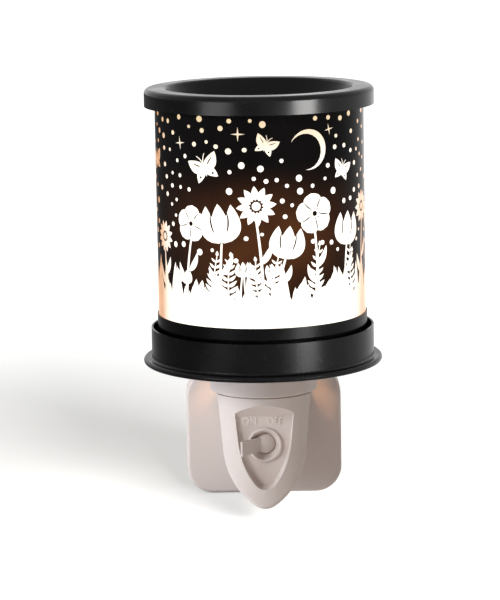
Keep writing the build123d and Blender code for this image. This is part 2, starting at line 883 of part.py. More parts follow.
def blade_body(x, width):
    """One flat blade with its foot on the contact strip, a hole near the tip and a pointed end."""
    half = width / 2
    back = -carrier_setback + strip_sheet + contact_gap
    side = Plane.YZ * polygon([
        (back, -half), (blade_length - blade_point_length, -half), (blade_length, blade_point_shrink - half),
        (blade_length, half - blade_point_shrink), (blade_length - blade_point_length, half), (back, half),
    ])
    blade = Pos(x, 0, 0) * extrude(side, amount=blade_thickness / 2, both=True)
    hole = rod(
        blade_hole_radius,
        (x - blade_thickness, blade_length - blade_hole_setback, 0),
        (x + blade_thickness, blade_length - blade_hole_setback, 0),
    )
    return blade - hole


def blade_hot():
    return blade_body(blade_spacing / 2, hot_blade_width)


def blade_neutral():
    return blade_body(-blade_spacing / 2, neutral_blade_width)


def blade_slot(x, width):
    return block(
        x - blade_thickness / 2, x + blade_thickness / 2, disc_back - cut_overrun, cut_overrun,
        -width / 2, width / 2,
    )


def plug_disc():
    """Swivel disc with its retaining flange, two finger hollows and the blades' slots."""
    disc = y_disc(disc_radius, disc_back, -disc_setback)
    disc = disc + y_disc(disc_flange_radius, disc_back, disc_back + disc_flange_thickness)
    hollow = y_disc(disc_grip_radius, -disc_setback - disc_grip_depth, cut_overrun)
    bridge = block(
        -disc_bridge_width / 2, disc_bridge_width / 2, -disc_radius, cut_overrun, -disc_radius, disc_radius,
    )
    disc = disc - (hollow - bridge)
    disc = disc - blade_slot(blade_spacing / 2, hot_blade_width)
    return disc - blade_slot(-blade_spacing / 2, neutral_blade_width)


def stud_places():
    """Studs of the hot and the neutral strip, in the middle of each arc."""
    radius = (strip_inner_radius + strip_outer_radius) / 2
    angle = math.radians(strip_lead - strip_sweep / 2)
    x, z = radius * math.cos(angle), radius * math.sin(angle)
    return [(x, z), (-x, -z)]


def contact_carrier():
    front = -carrier_setback - carrier_thickness
    length = 2 * (post_spread + post_radius)
    face = RectangleRounded(length, carrier_width, post_radius)
    plane = Plane(origin=(0, -carrier_setback, 0), x_dir=(1, 0, 0), z_dir=(0, -1, 0))
    plate = extrude(plane * face, amount=carrier_thickness)
    for x, z in stud_places():
        plate = plate - y_disc(
            stud_radius + stud_play, front - cut_overrun, -carrier_setback + cut_overrun, x, z
        )
    for x in (-post_spread, post_spread):
        plate = plate - y_disc(screw_hole_radius, front - cut_overrun, -carrier_setback + cut_overrun, x)
    return plate


def contact_strip_hot():
    """Brass arc that the hot blade's foot slides on as the plug is turned, with its stud."""
    plane = Plane(origin=(0, -carrier_setback + strip_sheet, 0), x_dir=(1, 0, 0), z_dir=(0, -1, 0))
    band = extrude(plane * (Circle(strip_outer_radius) - Circle(strip_inner_radius)), amount=strip_sheet)
    reach = strip_outer_radius * 3
    start = strip_lead - strip_sweep
    angles = [math.radians(a) for a in (start, start + strip_sweep / 2, strip_lead)]
    corners = [(reach * math.cos(a), reach * math.sin(a)) for a in angles]
    arc = band & extrude(plane * polygon([(0, 0), *corners]), amount=strip_sheet)
    x, z = stud_places()[0]
    return arc + y_disc(stud_radius, stud_end(), -carrier_setback, x, z)


def stud_end():
    return -carrier_setback - carrier_thickness - stud_reach


def contact_strip_neutral():
    return Rot(0, 180, 0) * contact_strip_hot()


def carrier_screws():
    seat = -carrier_setback - carrier_thickness
    screws = [
        screw(x, 0.0, seat, False, carrier_screw_head_radius, carrier_screw_length)
        for x in (-post_spread, post_spread)
    ]
    return Compound(children=[s.solid() for s in screws])


# Inner leads

def lead(points):
    route = FilletPolyline(*points, radius=wire_bend)
    start = Plane(origin=route @ 0, z_dir=route % 0)
    return sweep(start * Circle(wire_radius), path=Wire(route.edges()))


def wire_hot():
    """From the hot contact strip to the switch."""
    x, rise = terminal_places()[1]
    stud_x, stud_z = stud_places()[0]
    terminal_end = case_back + terminal_length
    z = switch_height + rise
    return lead([
        (x, terminal_end, z), (x, terminal_end + 2 * wire_bend, z),
        (stud_x, stud_end() - 2 * wire_bend, stud_z), (stud_x, stud_end(), stud_z),
    ])


def wire_neutral():
    """From the neutral contact strip up to the socket's shell."""
    stud_x, stud_z = stud_places()[1]
    shoulder_low = foot_height + shoulder_top - shoulder_height
    x = -(socket_radius + shoulder_radius) / 2
    return lead([
        (stud_x, stud_end(), stud_z), (stud_x, stud_end() - 2 * wire_bend, stud_z),
        (x, -lamp_reach, stud_z), (x, -lamp_reach, shoulder_low),
    ])


def wire_switched():
    """From the switch up to the socket's centre contact."""
    x, rise = terminal_places()[0]
    terminal_end = case_back + terminal_length
    rivet_end = foot_height + socket_floor_rise - socket_floor - terminal_length
    z = switch_height + rise
    out = terminal_end + 2 * wire_bend
    return lead([
        (x, terminal_end, z), (x, out, z), (0, out, rivet_end - 3 * wire_bend),
        (0, -lamp_reach, rivet_end - 2 * wire_bend), (0, -lamp_reach, rivet_end),
    ])


NODES = {
    "wax_dish": wax_dish,
    "glass_shade": glass_shade,
    "shade_gallery": shade_gallery,
    "base_ring": base_ring,
    "base_pan": base_pan,
    "neck_collar": neck_collar,
    "lamp_socket": lamp_socket,
    "socket_shell": socket_shell,
    "socket_contact": socket_contact,
    "socket_ring_nut": socket_ring_nut,
    "bulb_glass": bulb_glass,
    "bulb_cap": bulb_cap,
    "bulb_insulator": bulb_insulator,
    "bulb_contact": bulb_contact,
    "bulb_stem": bulb_stem,
    "bulb_filament": bulb_filament,
    "front_housing": front_housing,
    "rear_cover": rear_cover,
    "housing_screws": housing_screws,
    "switch_bezel": switch_bezel,
    "switch_lever": switch_lever,
    "switch_rocker": switch_rocker,
    "switch_case": switch_case,
    "switch_terminals": switch_terminals,
    "plug_disc": plug_disc,
    "blade_hot": blade_hot,
    "blade_neutral": blade_neutral,
    "contact_carrier": contact_carrier,
    "contact_strip_hot": contact_strip_hot,
    "contact_strip_neutral": contact_strip_neutral,
    "carrier_screws": carrier_screws,
    "wire_hot": wire_hot,
    "wire_neutral": wire_neutral,
    "wire_switched": wire_switched,
}


def main():
    os.makedirs("parts", exist_ok=True)
    for name, make in NODES.items():
        export_step(make(), f"parts/{name}.step")


if __name__ == "__main__":
    main()
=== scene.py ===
"""Dresses a plug-in wax melt warmer: metal, glass print with painted glow, moulded base, bulb, plug and
studio.
"""

import math
import random

import bmesh
import bpy
from bpy.props import FloatProperty, FloatVectorProperty, IntProperty, PointerProperty
from mathutils import Matrix, Vector


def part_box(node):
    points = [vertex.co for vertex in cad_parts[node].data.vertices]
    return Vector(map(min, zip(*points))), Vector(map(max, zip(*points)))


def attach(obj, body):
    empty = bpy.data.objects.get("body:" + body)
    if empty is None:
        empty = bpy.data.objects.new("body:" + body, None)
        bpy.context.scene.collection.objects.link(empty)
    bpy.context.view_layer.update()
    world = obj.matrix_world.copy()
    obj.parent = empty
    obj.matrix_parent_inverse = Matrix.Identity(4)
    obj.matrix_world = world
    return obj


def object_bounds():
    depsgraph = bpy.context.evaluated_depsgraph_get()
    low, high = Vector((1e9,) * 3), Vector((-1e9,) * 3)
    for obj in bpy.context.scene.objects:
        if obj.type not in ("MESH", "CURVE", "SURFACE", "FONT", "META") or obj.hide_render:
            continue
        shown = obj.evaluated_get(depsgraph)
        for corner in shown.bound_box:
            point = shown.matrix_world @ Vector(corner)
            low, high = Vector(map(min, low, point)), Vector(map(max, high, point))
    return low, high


bl_info = {
    "name": "Wax melt warmer finishes",
    "version": (1, 0, 0),
    "blender": (4, 5, 0),
    "location": "3D View > Sidebar > Warmer",
    "description": "Dresses the packed wax melt warmer and sets up its studio",
    "category": "Object",
}

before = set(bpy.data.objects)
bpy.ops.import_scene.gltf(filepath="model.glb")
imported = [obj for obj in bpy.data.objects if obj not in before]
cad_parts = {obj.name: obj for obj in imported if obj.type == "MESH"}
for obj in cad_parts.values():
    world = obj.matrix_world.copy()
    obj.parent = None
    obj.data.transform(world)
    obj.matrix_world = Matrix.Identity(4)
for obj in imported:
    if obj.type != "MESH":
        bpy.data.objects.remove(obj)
CAD_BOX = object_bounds()

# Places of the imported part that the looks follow, in metres
MM = 0.001
GLASS_LOW, GLASS_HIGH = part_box("glass_shade")
BULB_LOW, BULB_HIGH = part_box("bulb_glass")
CAP_LOW, CAP_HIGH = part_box("bulb_cap")
GALLERY_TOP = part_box("shade_gallery")[1].z
BEZEL_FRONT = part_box("switch_bezel")[0].y
FILAMENT_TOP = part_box("bulb_filament")[1].z
AXIS = (GLASS_LOW + GLASS_HIGH) / 2
AXIS.z = 0.0
# The glass stands this high above the foot of the black base
GLASS_SEAT = 15.6 * MM
FOOT = GLASS_LOW.z - GLASS_SEAT
GLASS_RADIUS = (GLASS_HIGH.x - GLASS_LOW.x) / 2
BULB_HEIGHT = BULB_HIGH.z - (BULB_HIGH.x - BULB_LOW.x) / 2


# Settings that a user would change

class MetalSettings(bpy.types.PropertyGroup):
    colour: FloatVectorProperty(
        name="Enamel colour", description="Base colour of the black enamel", subtype="COLOR",
        size=3, min=0.0, max=1.0, default=(0.0012, 0.0012, 0.0014),
    )
    roughness: FloatProperty(
        name="Enamel roughness", description="Mean roughness of the satin enamel", subtype="FACTOR",
        min=0.0, max=1.0, default=0.26,
    )
    grain: FloatProperty(
        name="Enamel grain", description="Height of the fine grain in the enamel", subtype="DISTANCE",
        unit="LENGTH", min=0.0, default=0.012 * MM,
    )


class PrintSettings(bpy.types.PropertyGroup):
    lift: FloatProperty(
        name="Print lift", description="How far the lit print stands off the glass", subtype="DISTANCE",
        unit="LENGTH", min=0.0, default=0.05 * MM,
    )
    band_height: FloatProperty(
        name="Band height", description="Height of the solid band above the foot", subtype="DISTANCE",
        unit="LENGTH", min=0.0, default=30.0 * MM,
    )
    leaf_height: FloatProperty(
        name="Leaf height", description="Mean height of the leaf tips above the foot", subtype="DISTANCE",
        unit="LENGTH", min=0.0, default=43.5 * MM,
    )
    leaf_spacing: FloatProperty(
        name="Leaf spacing", description="Mean distance between the leaves of the band", subtype="DISTANCE",
        unit="LENGTH", min=0.5 * MM, default=3.3 * MM,
    )
    dot_count: IntProperty(
        name="Dots", description="Number of light dots tried round the glass", min=0, default=1500,
    )
    seed: IntProperty(name="Seed", description="Seed of the pattern's layout", default=11)
    # Lit white and lit cream colour the windows' painted glow: emission in place of the bulb's light through
    # the glass
    lamp_white: FloatVectorProperty(
        name="Lit white", description="Colour of the windows near the bulb", subtype="COLOR",
        size=3, min=0.0, max=4.0, default=(1.6, 1.5, 1.35),
    )
    lamp_cream: FloatVectorProperty(
        name="Lit cream", description="Colour of the windows near the dish", subtype="COLOR",
        size=3, min=0.0, max=4.0, default=(0.90, 0.66, 0.38),
    )
    # The glow is painted: emission on the black print in place of the bulb's light seeping through it
    glow: FloatVectorProperty(
        name="Glow", description="Light that seeps through the black print in front of the bulb",
        subtype="COLOR", size=3, min=0.0, max=4.0, default=(0.085, 0.027, 0.007),
    )


class PlasticSettings(bpy.types.PropertyGroup):
    colour: FloatVectorProperty(
        name="Plastic colour", description="Base colour of the moulded base", subtype="COLOR",
        size=3, min=0.0, max=1.0, default=(0.66, 0.575, 0.535),
    )
    roughness: FloatProperty(
        name="Plastic roughness", description="Mean roughness of the moulded base", subtype="FACTOR",
        min=0.0, max=1.0, default=0.50,
    )
    letter_height: FloatProperty(
        name="Letter height", description="Height of ON and OFF", subtype="DISTANCE",
        unit="LENGTH", min=0.5 * MM, default=3.2 * MM,
    )
    letter_relief: FloatProperty(
        name="Letter relief", description="How far ON and OFF stand off the recess", subtype="DISTANCE",
        unit="LENGTH", min=0.0, default=0.40 * MM,
    )


class LampSettings(bpy.types.PropertyGroup):
    thread_pitch: FloatProperty(
        name="Thread pitch", description="Rise of the lamp cap's thread in one turn", subtype="DISTANCE",
        unit="LENGTH", min=0.5 * MM, default=2.54 * MM,
    )
    thread_depth: FloatProperty(
        name="Thread depth", description="Height of the thread's ridge", subtype="DISTANCE",
        unit="LENGTH", min=0.0, default=0.22 * MM,
    )
    filament_strength: FloatProperty(
        name="Filament strength", description="Brightness of the glowing filament", min=0.0, default=14.0,
    )
    seep_power: FloatProperty(
        name="Seep power", description="Lamp power that shines down through the vents", unit="POWER",
        min=0.0, default=0.22,
    )


class StudioSettings(bpy.types.PropertyGroup):
    key_power: FloatProperty(
        name="Key power", description="Softbox on the left, above the lamp, with the main shadows",
        unit="POWER", min=0.0, default=8.2,
    )
    card_power: FloatProperty(
        name="Card power", description="Small soft light close to the plate's left side", unit="POWER",
        min=0.0, default=0.58,
    )
    left_strip_power: FloatProperty(
        name="Left strip power", description="Strip on the left, seen in the enamel", unit="POWER",
        min=0.0, default=2.5,
    )
    right_strip_power: FloatProperty(
        name="Right strip power", description="Strip on the right that draws the enamel's highlight",
        unit="POWER", min=0.0, default=18.0,
    )
    floor_power: FloatProperty(
        name="Floor power", description="Light on the floor, which casts the object's shadow to the left",
        unit="POWER", min=0.0, default=56.0,
    )
    room_light: FloatProperty(
        name="Room light", description="Warm room light, stronger from the left", min=0.0, default=0.26,
    )
    floor_gap: FloatProperty(
        name="Floor gap", description="Distance from the lowest point to the floor", subtype="DISTANCE",
        unit="LENGTH", min=0.0, default=0.2 * MM,
    )


# Materials

class Nodes:
    """Adds shader nodes to one tree and links them."""

    def __init__(self, tree):
        self.tree = tree

    def feed(self, socket, value):
        if isinstance(value, bpy.types.NodeSocket):
            self.tree.links.new(value, socket)
        else:
            socket.default_value = value

    def node(self, kind, inputs, **settings):
        made = self.tree.nodes.new("ShaderNode" + kind)
        for name, value in settings.items():
            setattr(made, name, value)
        for name, value in inputs.items():
            self.feed(made.inputs[name], value)
        return made

    def place(self, kind="Object"):
        return self.node("TexCoord", {}).outputs[kind]

    def part_of(self, vector, axis):
        return self.node("SeparateXYZ", {0: vector}).outputs[axis]

    def length(self, vector):
        return self.node("VectorMath", {0: vector}, operation="LENGTH").outputs["Value"]

    def number(self, operation, first, second=0.0):
        return self.node("Math", {0: first, 1: second}, operation=operation).outputs[0]

    def across(self, value, start, end, low=0.0, high=1.0, kind="SMOOTHSTEP"):
        """Maps value from start..end to low..high, held at both ends."""
        inputs = {"Value": value, "From Min": start, "From Max": end, "To Min": low, "To Max": high}
        return self.node("MapRange", inputs, interpolation_type=kind).outputs["Result"]

    def blend(self, factor, first, second):
        return self.node("Mix", {0: factor, 6: first, 7: second}, data_type="RGBA").outputs[2]

    def shader(self, kind, inputs):
        return self.node(kind, inputs).outputs[0]

    def show_by_rays(self, unused, output, soft, mirrored, seen):
        """Shows one shader to the camera and through glass, one to gloss and one to all other rays."""
        rays = self.node("LightPath", {}).outputs
        gloss = self.shader("MixShader", {0: rays["Is Glossy Ray"], 1: soft, 2: mirrored})
        direct = self.number("MAXIMUM", rays["Is Camera Ray"], rays["Is Transmission Ray"])
        mixed = self.shader("MixShader", {0: direct, 1: gloss, 2: seen})
        self.feed(self.tree.nodes[output].inputs["Surface"], mixed)
        self.tree.nodes.remove(self.tree.nodes[unused])


class Finish(Nodes):
    """A material of procedural nodes round one Principled shader."""

    def __init__(self, name, sockets):
        self.material = bpy.data.materials.new(name)
        self.material.use_nodes = True
        super().__init__(self.material.node_tree)
        self.principled = self.tree.nodes["Principled BSDF"]
        self.set(sockets)

    def set(self, sockets):
        for name, value in sockets.items():
            self.feed(self.principled.inputs[name], value)

    def cloud(self, scale, detail=3.0, stretch=(1.0, 1.0, 1.0)):
        """Noise in the part's own coordinates."""
        mapping = self.node("Mapping", {"Vector": self.place(), "Scale": stretch})
        inputs = {"Vector": mapping.outputs["Vector"], "Scale": scale, "Detail": detail}
        return self.node("TexNoise", inputs).outputs[0]

    def mottled(self, pattern, colour, low, high):
        """Drifts between a darker and a lighter shade of one colour."""
        return self.blend(pattern, rgba(shade_of(colour, low)), rgba(shade_of(colour, high)))

    def uneven(self, pattern, middle, less, more):
        """Roughness that drifts about its middle."""
        return self.across(pattern, 0.3, 0.7, middle - less, middle + more)

    def from_axis(self):
        """Vector from the lamp's axis to the point, level with it."""
        away = self.node("VectorMath", {0: self.place(), 1: AXIS}, operation="SUBTRACT")
        inputs = {0: away.outputs[0], 1: (1.0, 1.0, 0.0)}
        return self.node("VectorMath", inputs, operation="MULTIPLY").outputs[0]

    def radius(self):
        return self.length(self.from_axis())

    def height(self):
        return self.part_of(self.place(), "Z")

    def relief(self, height, distance, strength, under=None):
        inputs = {"Height": height, "Distance": distance, "Strength": strength}
        if under is not None:
            inputs["Normal"] = under
        return self.node("Bump", inputs).outputs["Normal"]


def rgba(colour):
    return (*colour[:3], 1.0)


def shade_of(colour, factor):
    return tuple(c * factor for c in colour[:3])


def dress(node_names, finish):
    """Gives CAD nodes a finish."""
    for name in node_names:
        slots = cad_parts[name].data.materials
        slots.clear()
        slots.append(finish.material)


def add_piece(name, mesh, finish, body):
    """Puts a new mesh object in the scene, riding on a body."""
    piece = bpy.data.objects.new(name, mesh)
    bpy.context.scene.collection.objects.link(piece)
    mesh.materials.append(finish.material)
    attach(piece, body)


def spun_enamel(name, settings, gloss, tint=1.0, rough_shift=0.0):
    """Black enamel over spun metal: fine rings, a fine grain and a little dust."""
    finish = Finish(name, {"Specular IOR Level": gloss})
    patches = finish.cloud(38.0, 4.0)
    fine = finish.cloud(900.0, 2.0)
    ring_inputs = {"W": finish.radius(), "Scale": 2600.0, "Detail": 2.0}
    rings = finish.node("TexNoise", ring_inputs, noise_dimensions="1D")
    dust = finish.across(finish.cloud(260.0, 5.0), 0.60, 0.78)
    base = finish.mottled(patches, shade_of(settings.colour, tint), 0.82, 1.22)
    rough = finish.uneven(patches, settings.roughness + rough_shift, 0.04, 0.05)
    spun = finish.relief(rings.outputs[0], settings.grain, 0.16)
    finish.set({
        "Base Color": finish.blend(finish.number("MULTIPLY", dust, 0.008), base, (0.20, 0.19, 0.18, 1.0)),
        "Roughness": finish.number("ADD", rough, finish.number("MULTIPLY", dust, 0.10)),
        "Normal": finish.relief(fine, settings.grain, 0.5, spun),
    })
    return finish


def moulded_plastic(name, settings, tint=1.0, rough_shift=0.0):
    """Pink-ivory plastic with faint scuffs; tint gives a lighter or darker copy of it."""
    colour = shade_of(settings.colour, tint)
    finish = Finish(name, {
        "Specular IOR Level": 0.28, "Subsurface Weight": 0.12, "Subsurface Radius": (1.0, 0.55, 0.4),
        "Subsurface Scale": 1.2 * MM,
    })
    drift = finish.cloud(22.0, 3.0)
    spark = finish.cloud(1600.0, 2.0)
    scuff = finish.across(finish.cloud(420.0, 4.0, (1.0, 1.0, 0.35)), 0.62, 0.75)
    base = finish.mottled(drift, colour, 0.97, 1.03)
    scuffed = rgba(shade_of(colour, 0.75))
    finish.set({
        "Base Color": finish.blend(finish.number("MULTIPLY", scuff, 0.05), base, scuffed),
        "Roughness": finish.uneven(drift, settings.roughness + rough_shift, 0.03, 0.05),
        "Normal": finish.relief(spark, 0.008 * MM, 0.45),
    })
    return finish


def bright_metal(name, colour, roughness, stretch=(1.0, 1.0, 1.0)):
    """Bare metal; a stretch below one draws its grain out into lines."""
    finish = Finish(name, {"Metallic": 1.0})
    lines = finish.cloud(1500.0, 3.0, stretch)
    finish.set({
        "Base Color": finish.mottled(finish.cloud(90.0, 3.0), colour, 0.86, 1.0),
        "Roughness": finish.across(lines, 0.25, 0.75, roughness - 0.07, roughness + 0.09),
        "Normal": finish.relief(lines, 0.01 * MM, 0.25),
    })
    return finish


def dull_moulding(name, colour, roughness=0.5):
    """Plain moulded resin or jacket with a fine grain."""
    finish = Finish(name, {"Specular IOR Level": 0.4})
    patches = finish.cloud(120.0, 4.0)
    finish.set({
        "Base Color": finish.mottled(patches, colour, 0.85, 1.25),
        "Roughness": finish.uneven(patches, roughness, 0.06, 0.08),
        "Normal": finish.relief(finish.cloud(1400.0, 2.0), 0.015 * MM, 0.4),
    })
    return finish


def painted_glow_lobe(finish, power):
    """Share of the painted glow: strongest at the glass's front and back, where the filament lies broadside;
    zero at its sides.
    """
    lean = finish.number("ABSOLUTE", finish.part_of(finish.from_axis(), "Y"))
    return finish.number("POWER", finish.number("DIVIDE", lean, GLASS_RADIUS), power)


def painted_window_colour(finish, settings):
    """Colour of the painted glow in a clear window: white by the bulb, cream under the dish, painted amber
    at the sides.
    """
    # Painted amber glow towards the glass's sides
    painted_side_amber = (0.72, 0.35, 0.15, 1.0)
    rise = finish.across(finish.height(), FOOT + 78 * MM, FOOT + 110 * MM)
    colour = finish.blend(rise, rgba(settings.lamp_white), rgba(settings.lamp_cream))
    side = finish.across(painted_glow_lobe(finish, 1.0), 0.26, 0.62, 1.0, 0.0)
    return finish.blend(finish.number("MULTIPLY", side, 0.95), colour, painted_side_amber)


# Print with painted glowing windows: flat outlines in millimetres, across from the glass's front and up from
# the foot

# Points of an outline that lie closer than this count as one
CLOSEST_POINTS = 0.02


def spine_sides(root, tip):
    """Vector from root to tip, and the unit vector to its left."""
    along = Vector(tip) - Vector(root)
    return along, Vector((-along.y, along.x)).normalized()


def on_spine(root, tip, bow, t):
    """Point at the share t of a spine that bows to its left by bow at most."""
    along, across = spine_sides(root, tip)
    return Vector(root) + along * t + across * (bow * 4 * t * (1 - t))


def spine_outline(root, tip, width, bow, profile, steps):
    """Outline round a bowed spine, whose half width follows the profile from root to tip."""
    across = spine_sides(root, tip)[1]
    left, right = [], []
    for step in range(steps + 1):
        t = step / steps
        middle = on_spine(root, tip, bow, t)
        half = across * (width / 2 * profile(t))
        left.append(middle + half)
        right.append(middle - half)
    outline = left + right[::-1]
    return [tuple(p) for i, p in enumerate(outline) if (p - outline[i - 1]).length > CLOSEST_POINTS]


def blade_profile(t):
    return (1 - t**2.6) ** 0.8


def petal_profile(t):
    return max(math.sin(math.pi * t**0.75), 0.0) ** 0.8


def round_petal_profile(t):
    return max(math.sin(math.pi * t**1.7), 0.0) ** 0.6


def stem_profile(t):
    return 1 - 0.35 * t


def ring_points(centre, radius, count, start=0.0, squash=1.0):
    return [
        (centre[0] + radius * math.cos(start + 2 * math.pi * i / count),
         centre[1] + radius * squash * math.sin(start + 2 * math.pi * i / count))
        for i in range(count)
    ]


def on_circle(centre, radius, angle):
    return centre[0] + radius * math.cos(angle), centre[1] + radius * math.sin(angle)


def away_from(centre, angle, reach):
    return Vector(centre) + Vector((math.cos(angle), math.sin(angle))) * reach


def turned_about(outline, centre, angle):
    c, s = math.cos(angle), math.sin(angle)
    return [
        (centre[0] + (x - centre[0]) * c - (y - centre[1]) * s,
         centre[1] + (x - centre[0]) * s + (y - centre[1]) * c)
        for x, y in outline
    ]


def leaf_of(centre, size, turn, root, tip, width, bow, steps, profile=petal_profile):
    """One leaf of a motif: its ends, width and bow are shares of the motif's size, before the turn."""
    ends = [(centre[0] + x * size, centre[1] + y * size) for x, y in (root, tip)]
    return turned_about(spine_outline(*ends, width * size, bow * size, profile, steps), centre, turn)


def tulip(foot, size, lean):
    """Cup of three petals; the dark slits part them."""
    petals = [
        ((-0.06, 0.0), (-0.36, 1.0), 0.50, 0.14, 10),
        ((0.06, 0.0), (0.36, 1.0), 0.50, -0.14, 10),
        ((0.0, 0.0), (0.0, 1.04), 0.52, 0.0, 10),
    ]
    slits = [((-0.16, 0.24), (-0.20, 0.92), 0.045, 0.07, 6), ((0.16, 0.24), (0.20, 0.92), 0.045, -0.07, 6)]
    return tuple([leaf_of(foot, size, lean, *leaf) for leaf in layer] for layer in (petals, slits))


def daisy(centre, size, turn):
    """Twelve narrow petals round a light eye."""
    light = [ring_points(centre, 0.22 * size, 14)]
    for i in range(12):
        angle = turn + 2 * math.pi * i / 12
        root, tip = away_from(centre, angle, 0.29 * size), away_from(centre, angle, size)
        light.append(spine_outline(root, tip, 0.36 * size, 0.0, petal_profile, 7))
    return light, []


def poppy(centre, size, turn):
    """Five broad petals, parted by dark slits, round a dark eye and a ring of spots."""
    light, dark = [], [ring_points(centre, 0.13 * size, 12)]
    for i in range(5):
        angle = turn + 2 * math.pi * i / 5
        root, tip = away_from(centre, angle, -0.04 * size), away_from(centre, angle, size)
        light.append(spine_outline(root, tip, 0.96 * size, 0.0, round_petal_profile, 12))
        slit = angle + math.pi / 5
        root, tip = away_from(centre, slit, 0.24 * size), away_from(centre, slit, 0.86 * size)
        dark.append(spine_outline(root, tip, 0.06 * size, 0.02 * size, petal_profile, 5))
    for i in range(8):
        spot = away_from(centre, turn + 2 * math.pi * (i + 0.5) / 8, 0.26 * size)
        dark.append(ring_points(spot, 0.035 * size, 6))
    return light, dark


def butterfly(centre, size, tilt):
    """Two pairs of wings with dark marks, two feelers and a body."""
    light, dark = [], []
    for side in (-1, 1):
        leaves = [
            ((0.0, 0.0), (side * 0.95, 0.78), 0.72, -side * 0.10, 9),
            ((0.0, 0.05), (side * 0.66, -0.62), 0.52, side * 0.06, 8),
            ((0.0, 0.3), (side * 0.28, 0.86), 0.07, side * 0.05, 5, stem_profile),
        ]
        light += [leaf_of(centre, size, tilt, *leaf) for leaf in leaves]
        dark.append(leaf_of(centre, size, tilt, (side * 0.2, 0.2), (side * 0.72, 0.58), 0.07, 0.0, 5))
        spot = centre[0] + side * 0.42 * size, centre[1] - 0.34 * size
        dark.append(turned_about(ring_points(spot, 0.07 * size, 8), centre, tilt))
    light.append(leaf_of(centre, size, tilt, (0.0, -0.42), (0.0, 0.42), 0.13, 0.0, 6))
    return light, dark


def crescent(centre, size, tilt):
    """Waning moon between two arcs."""
    reach = math.radians(128)
    outer = [on_circle(centre, size, reach * (i / 12 - 1)) for i in range(25)]
    bite = Vector((centre[0] - 0.20 * size, centre[1]))
    first, last = Vector(outer[0]) - bite, Vector(outer[-1]) - bite
    radius = first.length
    start, end = math.atan2(last.y, last.x), math.atan2(first.y, first.x)
    inner = [on_circle(bite, radius, start + (end - start) * i / 14) for i in range(1, 14)]
    return [turned_about(outer + inner, centre, tilt)], []


def sparkle(centre, size, turn):
    """Star with four points."""
    reaches = (size, size * 0.17) * 4
    return [[on_circle(centre, reach, turn + math.pi * i / 4) for i, reach in enumerate(reaches)]], []


def fern(root, tip, bow, size):
    """Spine with pairs of small leaves."""
    light = [spine_outline(root, tip, 0.16 * size, bow, stem_profile, 8)]
    along, across = spine_sides(root, tip)
    for step in range(2, 9):
        t = step / 9
        spot = on_spine(root, tip, bow, t)
        reach = size * (1.15 - 0.75 * t)
        for side in (-1, 1):
            end = spot + across * (side * reach) + along.normalized() * (0.75 * reach)
            light.append(spine_outline(spot, end, 0.42 * reach, side * 0.08 * reach, petal_profile, 6))
    end = Vector(tip) + along.normalized() * (0.5 * size)
    light.append(spine_outline(tip, end, 0.3 * size, 0.0, petal_profile, 6))
    return light, []


# Flowers of the front: kind, place of the root across, place of the head, size and turn
FRONT_FLOWERS = [
    (poppy, -34.0, (-31.0, 62.5), 7.6, 0.2),
    (tulip, -17.5, (-16.5, 56.0), 15.5, 0.10),
    (daisy, 0.5, (-2.0, 70.5), 8.2, 0.1),
    (tulip, 6.0, (9.5, 49.5), 13.0, -0.16),
    (poppy, 24.0, (22.5, 66.5), 8.4, 0.5),
    (tulip, 38.5, (40.0, 52.5), 13.5, -0.08),
    (daisy, -49.0, (-49.5, 55.5), 6.6, 0.3),
    (daisy, 53.0, (54.5, 66.0), 7.0, 0.0),
]

# Motifs above the flowers: kind, place, size and turn
SKY = [
    (crescent, (20.0, 92.5), 8.2, 0.5),
    (butterfly, (-23.5, 85.0), 7.2, 0.35),
    (butterfly, (2.0, 94.5), 5.0, -0.4),
    (butterfly, (37.5, 82.5), 5.4, -0.25),
    (sparkle, (-9.0, 99.5), 3.0, 0.0),
    (sparkle, (30.0, 100.0), 2.4, 0.2),
    (sparkle, (-36.5, 95.0), 2.8, 0.1),
    (butterfly, (-58.0, 86.0), 5.6, 0.2),
    (butterfly, (72.0, 90.0), 6.0, -0.3),
    (butterfly, (110.0, 84.0), 5.2, 0.3),
    (crescent, (138.0, 94.0), 6.0, 0.4),
    (butterfly, (165.0, 86.0), 6.0, 0.2),
    (sparkle, (92.0, 99.0), 2.8, 0.1),
    (sparkle, (188.0, 96.0), 3.0, 0.0),
]


